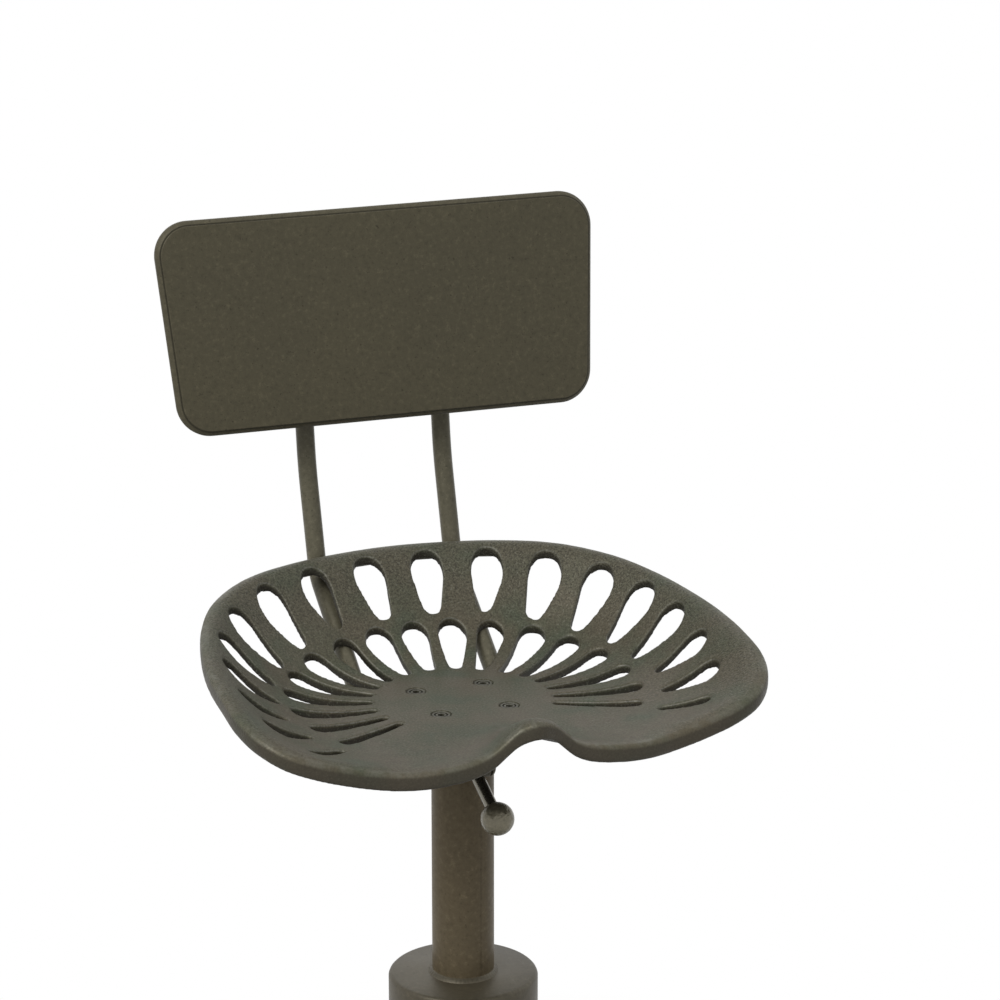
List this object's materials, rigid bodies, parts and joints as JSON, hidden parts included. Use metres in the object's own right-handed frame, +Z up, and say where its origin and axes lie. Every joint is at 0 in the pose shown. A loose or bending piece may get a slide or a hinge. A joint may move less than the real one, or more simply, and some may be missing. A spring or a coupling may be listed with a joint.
{
  "type": "tractor seat stool",
  "caption": "Adjustable work stool with a slotted cast tractor seat, a low backrest on bent struts, a swivelling and sliding post, splayed legs and a foot ring.",
  "frame": {"origin": "on the floor, under the middle of the stool's depth and width, with the post right down", "axes": "+Z up, the sitter faces -Y, the backrest is on the +Y side, +X is to the right of a viewer who faces the stool's front"},
  "size_m": [0.4174, 0.427, 0.9439],
  "materials": {
    "seat_casting": "satin bronze-grey coat over a cast surface",
    "coated_steel": "satin dark bronze coat",
    "bright_steel": "dull plated steel",
    "bearing_bronze": "plain bearing bronze",
    "bush_plastic": "moulded black plastic",
    "foot_rubber": "matt black rubber"
  },
  "bodies": {
    "base": {"post": "coated_steel", "post_plug": "bush_plastic", "stop_screw": "bright_steel", "clamp_collar": "coated_steel", "leg_cap": "coated_steel", "leg_bracket": "coated_steel", "leg_1": "coated_steel", "leg_2": "coated_steel", "leg_3": "coated_steel", "leg_4": "coated_steel", "foot_ring": "coated_steel", "ring_bolt_1": "bright_steel", "ring_bolt_2": "bright_steel", "ring_bolt_3": "bright_steel", "ring_bolt_4": "bright_steel", "glider_1": "foot_rubber", "glider_2": "foot_rubber", "glider_3": "foot_rubber", "glider_4": "foot_rubber"},
    "lift": {"lift_tube": "bright_steel", "upper_bush": "bush_plastic", "lower_bush": "bush_plastic"},
    "seat": {"seat_pan": "seat_casting", "seat_screw_front_left": "coated_steel", "seat_screw_front_right": "coated_steel", "seat_screw_back_left": "coated_steel", "seat_screw_back_right": "coated_steel", "strut_plate": "coated_steel", "strut_screw_front_left": "bright_steel", "strut_screw_front_right": "bright_steel", "strut_screw_back_left": "bright_steel", "strut_screw_back_right": "bright_steel", "back_strut_left": "coated_steel", "back_strut_right": "coated_steel", "backrest_panel": "coated_steel", "back_standoff_lower_left": "coated_steel", "back_standoff_upper_left": "coated_steel", "back_standoff_lower_right": "coated_steel", "back_standoff_upper_right": "coated_steel", "back_bolt_lower_left": "bright_steel", "back_bolt_upper_left": "bright_steel", "back_bolt_lower_right": "bright_steel", "back_bolt_upper_right": "bright_steel", "swivel_flange": "coated_steel", "swivel_spindle": "bright_steel", "thrust_washer": "bearing_bronze", "retaining_washer": "bright_steel", "retaining_screw": "bright_steel"},
    "clamp_lever": {"lever_hub": "coated_steel", "lever_rod": "bright_steel", "ball_knob": "coated_steel", "clamp_screw": "bright_steel"}
  },
  "joints": [
    {"name": "height_slide", "type": "slide", "parent": "base", "child": "lift", "axis": [0, 0, 1], "range_m": [0, 0.178]},
    {"name": "seat_swivel", "type": "hinge", "parent": "lift", "child": "seat", "pos_m": [0, -0.017, 0.58], "axis": [0, 0, 1], "continuous": true},
    {"name": "clamp_swing", "type": "hinge", "parent": "base", "child": "clamp_lever", "pos_m": [0, -0.055, 0.5594], "axis": [1, 0, 0], "range_deg": [0, 60]}
  ]
}
